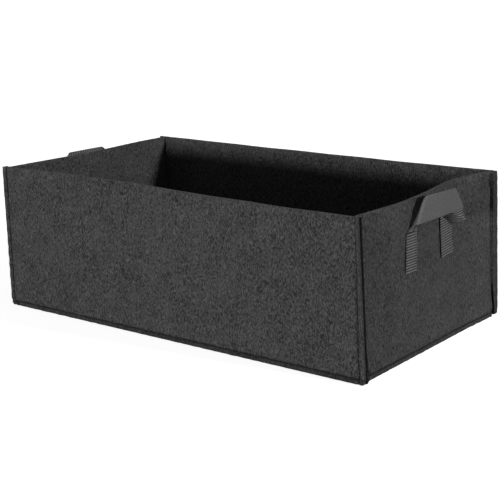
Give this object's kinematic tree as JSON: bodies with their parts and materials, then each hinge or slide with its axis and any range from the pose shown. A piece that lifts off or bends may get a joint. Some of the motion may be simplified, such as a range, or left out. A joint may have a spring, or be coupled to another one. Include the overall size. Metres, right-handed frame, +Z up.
{
  "type": "fabric grow bag",
  "caption": "Open rectangular felt planter bag with outward sewn corner seams, a sagging sewn-in bottom and a webbing carrying handle on each end.",
  "frame": {"origin": "middle of the footprint, on the floor that the bag stands on", "axes": "+X along the long side, +Y towards the rear long panel, +Z up"},
  "size_m": [0.6116, 0.341, 0.2],
  "materials": {
    "felt": "charcoal needle-punched non-woven felt, matte and fibrous",
    "webbing": "dark grey ribbed nylon webbing, slight sheen",
    "thread": "black polyester sewing thread"
  },
  "bodies": {
    "bag": {"front_panel": "felt", "rear_panel": "felt", "right_end_panel": "felt", "left_end_panel": "felt", "bottom_panel": "felt", "right_handle_front_tab": "webbing", "right_handle_rear_tab": "webbing", "left_handle_front_tab": "webbing", "left_handle_rear_tab": "webbing", "front_bottom_seam_thread": "thread", "rear_bottom_seam_thread": "thread", "right_bottom_seam_thread": "thread", "left_bottom_seam_thread": "thread", "right_front_tab_thread": "thread", "right_rear_tab_thread": "thread", "front_right_corner_thread": "thread", "rear_right_corner_thread": "thread", "left_front_tab_thread": "thread", "left_rear_tab_thread": "thread", "front_left_corner_thread": "thread", "rear_left_corner_thread": "thread"},
    "right_handle": {"right_handle_loop": "webbing"},
    "left_handle": {"left_handle_loop": "webbing"}
  },
  "joints": [
    {"name": "right_handle_swing", "type": "hinge", "parent": "bag", "child": "right_handle", "pos_m": [0.294, 0, 0.16], "axis": [0, 1, 0], "range_deg": [0, 110]},
    {"name": "left_handle_swing", "type": "hinge", "parent": "bag", "child": "left_handle", "pos_m": [-0.294, 0, 0.16], "axis": [0, -1, 0], "range_deg": [0, 110]}
  ]
}
